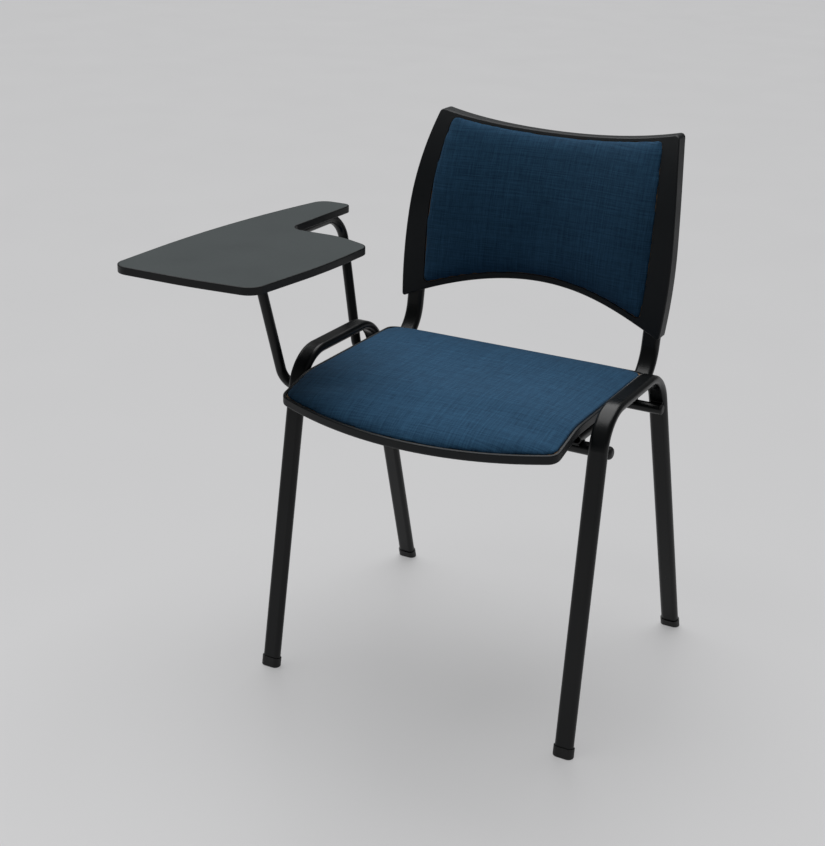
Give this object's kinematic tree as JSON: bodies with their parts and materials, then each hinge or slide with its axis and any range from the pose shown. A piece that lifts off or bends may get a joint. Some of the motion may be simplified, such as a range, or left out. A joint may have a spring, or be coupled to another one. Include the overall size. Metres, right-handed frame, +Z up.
{
  "type": "stacking chair with writing tablet",
  "caption": "Upholstered stacking chair on a bent flat-oval tube frame, with a writing tablet that folds up about its arm beside the seat.",
  "frame": {"origin": "bottom centre of the chair's bounding box, on the floor", "axes": "+Z up, the chair faces -Y, the tablet stands at the sitter's right hand on the -X side"},
  "size_m": [0.673, 0.6352, 0.8191],
  "materials": {
    "black_frame": "satin black powder coat",
    "cap_plastic": "matt black plastic",
    "shell_plastic": "fine grained black plastic",
    "plywood": "plain plywood",
    "zinc_steel": "zinc plated",
    "blue_fabric": "woven blue upholstery",
    "grey_laminate": "matt dark grey laminate",
    "edge_band": "matt black edge band",
    "buffer_rubber": "matt black rubber"
  },
  "bodies": {
    "root": {"side_frame_left": "black_frame", "side_frame_right": "black_frame", "front_cross_tube": "black_frame", "rear_cross_tube": "black_frame", "back_upright_left": "black_frame", "back_upright_right": "black_frame", "tablet_arm": "black_frame", "fold_stop": "black_frame", "foot_cap_front_left": "cap_plastic", "foot_cap_front_right": "cap_plastic", "foot_cap_rear_left": "cap_plastic", "foot_cap_rear_right": "cap_plastic", "front_cross_plug": "cap_plastic", "rear_cross_plug": "cap_plastic", "seat_tray": "shell_plastic", "back_shell": "shell_plastic", "seat_board": "plywood", "back_board": "plywood", "seat_inserts": "zinc_steel", "seat_screws": "zinc_steel", "back_panel_screws": "zinc_steel", "back_upright_screws": "zinc_steel", "arm_grub_screws": "zinc_steel", "seat_cushion": "blue_fabric", "back_cushion": "blue_fabric", "fold_stop_buffers": "buffer_rubber"},
    "tablet": {"tablet_board": "grey_laminate", "tablet_edge_band": "edge_band", "hinge_collar_front": "black_frame", "hinge_collar_rear": "black_frame", "collar_screws": "zinc_steel"}
  },
  "joints": [
    {"name": "tablet_fold", "type": "hinge", "parent": "root", "child": "tablet", "pos_m": [-0.26016, -0.0411, 0.649], "axis": [0, -1, 0], "range_deg": [0, 90]}
  ]
}
